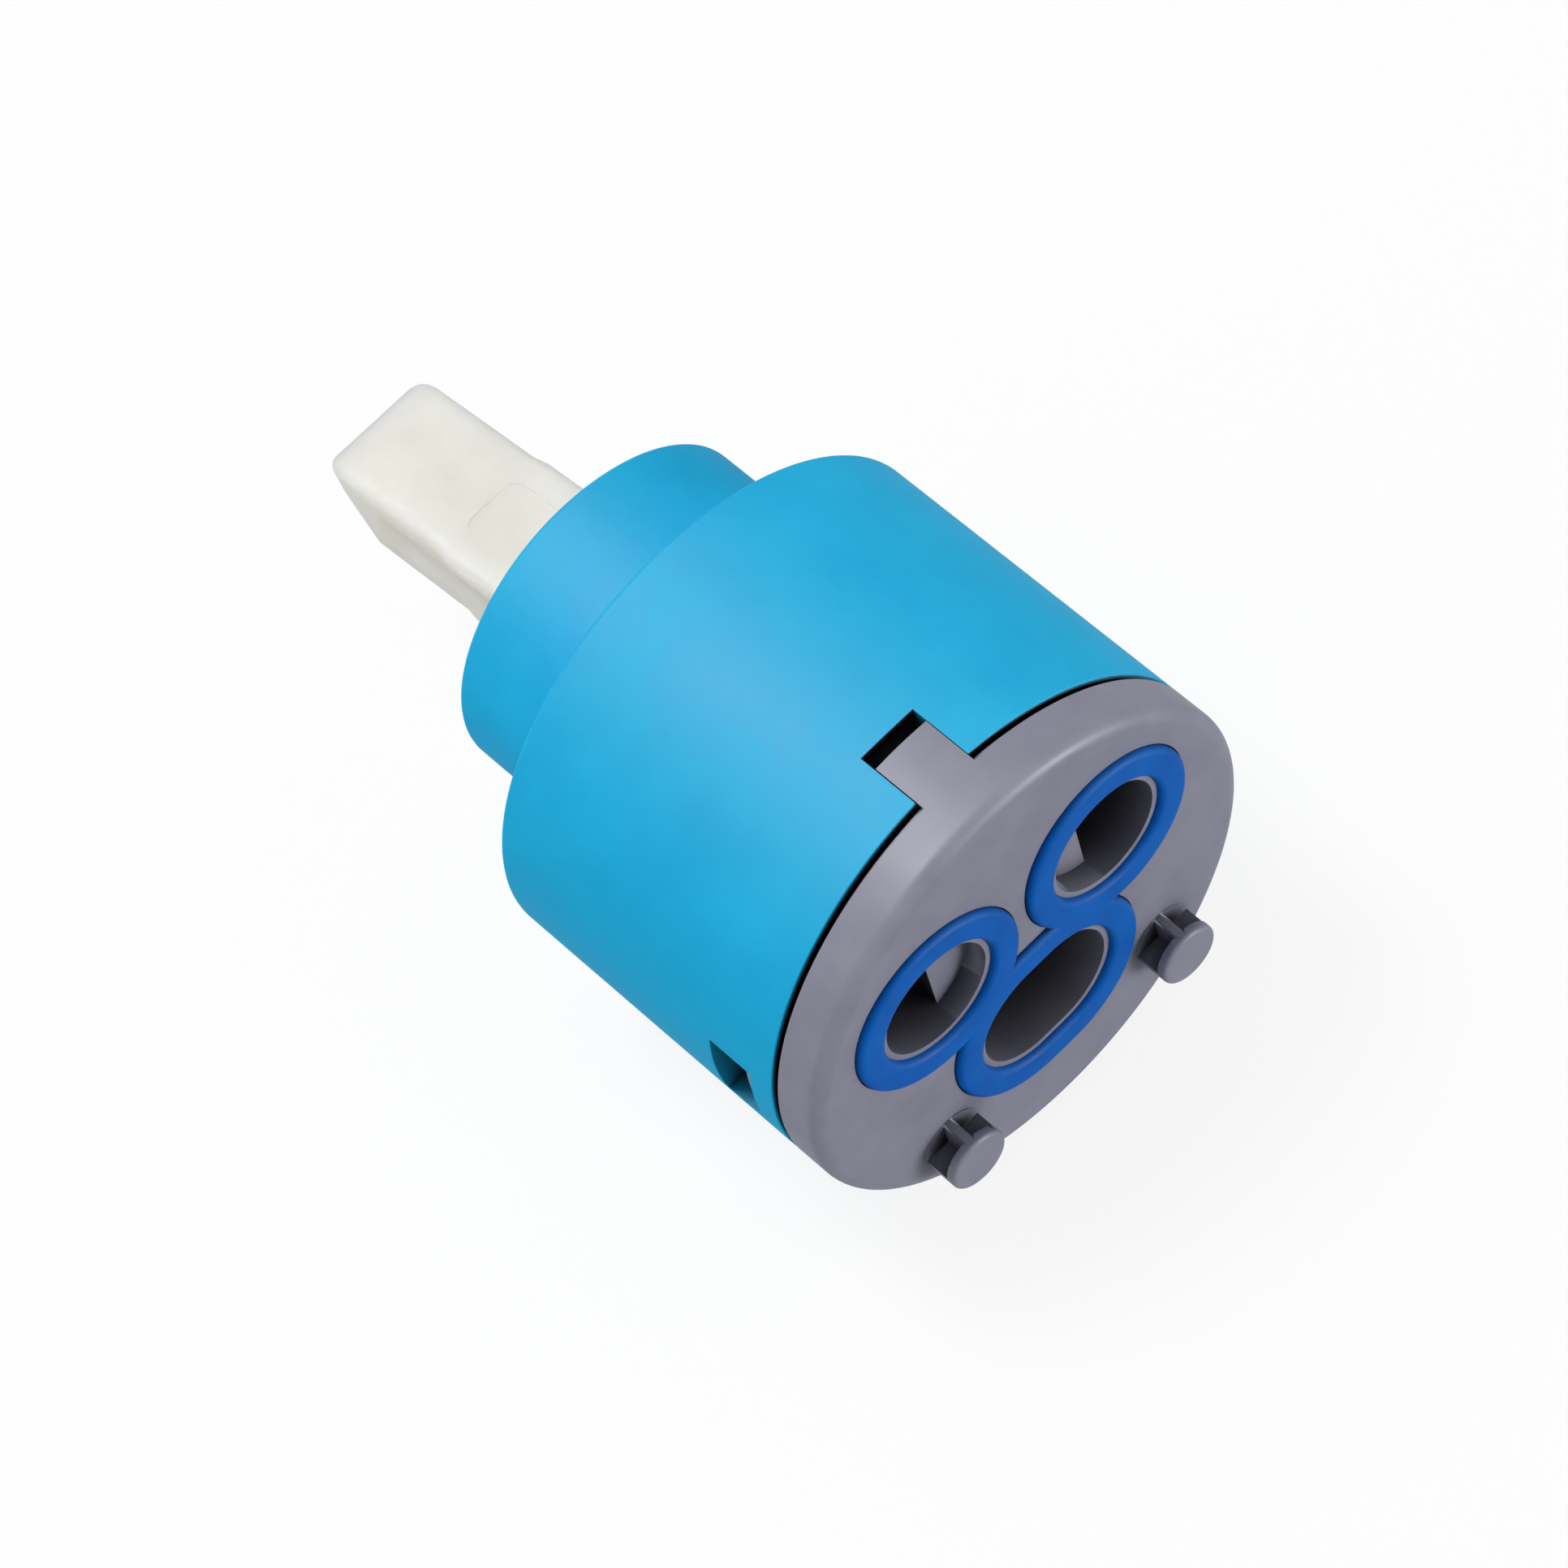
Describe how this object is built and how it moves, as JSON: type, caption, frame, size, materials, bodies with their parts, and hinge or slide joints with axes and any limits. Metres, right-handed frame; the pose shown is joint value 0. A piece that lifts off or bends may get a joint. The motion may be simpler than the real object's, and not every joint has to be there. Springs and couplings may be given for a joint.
{
  "type": "ceramic disc tap cartridge",
  "caption": "Round single-lever mixer tap cartridge: blue housing with a collar, cream lever, grey base with sealed water ports and locating pins.",
  "frame": {"origin": "centre of the seat face under the base", "axes": "+Z from the seat face up to the lever, -Y towards the locking tab, +X towards the cold inlet"},
  "size_m": [0.035, 0.035, 0.0615],
  "materials": {
    "blue_housing": "satin moulded acetal",
    "grey_base": "satin moulded plastic",
    "blue_seal": "moulded silicone",
    "cream_lever": "satin moulded glass-filled nylon",
    "disc_ceramic": "lapped alumina ceramic",
    "white_plastic": "satin moulded acetal",
    "black_rubber": "moulded nitrile",
    "steel_pin": "ground steel"
  },
  "bodies": {
    "cartridge_body": {"housing": "blue_housing", "base_plate": "grey_base", "port_seal": "blue_seal", "hot_inlet_seal": "blue_seal", "cold_inlet_seal": "blue_seal", "outlet_seal": "blue_seal", "fixed_disc": "disc_ceramic", "slip_ring": "white_plastic"},
    "swivel": {"swivel_bush": "white_plastic", "neck_oring": "black_rubber", "lever_pin": "steel_pin"},
    "lever_arm": {"lever": "cream_lever"},
    "disc_carriage": {"moving_disc": "disc_ceramic", "chamber_seal": "black_rubber", "noise_screen": "white_plastic", "disc_carrier": "white_plastic"}
  },
  "joints": [
    {"name": "temperature_swivel", "type": "hinge", "parent": "cartridge_body", "child": "swivel", "pos_m": [0, 0, 0.0323], "axis": [0, 0, 1], "range_deg": [-50, 50]},
    {"name": "flow_tilt", "type": "hinge", "parent": "swivel", "child": "lever_arm", "pos_m": [0, 0, 0.0323], "axis": [1, 0, 0], "range_deg": [0, 24]},
    {"name": "disc_slide", "type": "slide", "parent": "swivel", "child": "disc_carriage", "axis": [0, 1, 0], "range_m": [0, 0.00418]}
  ],
  "couplings": [
    {"joint": "disc_slide", "follows": "flow_tilt", "m_per_rad": 0.0099679}
  ]
}
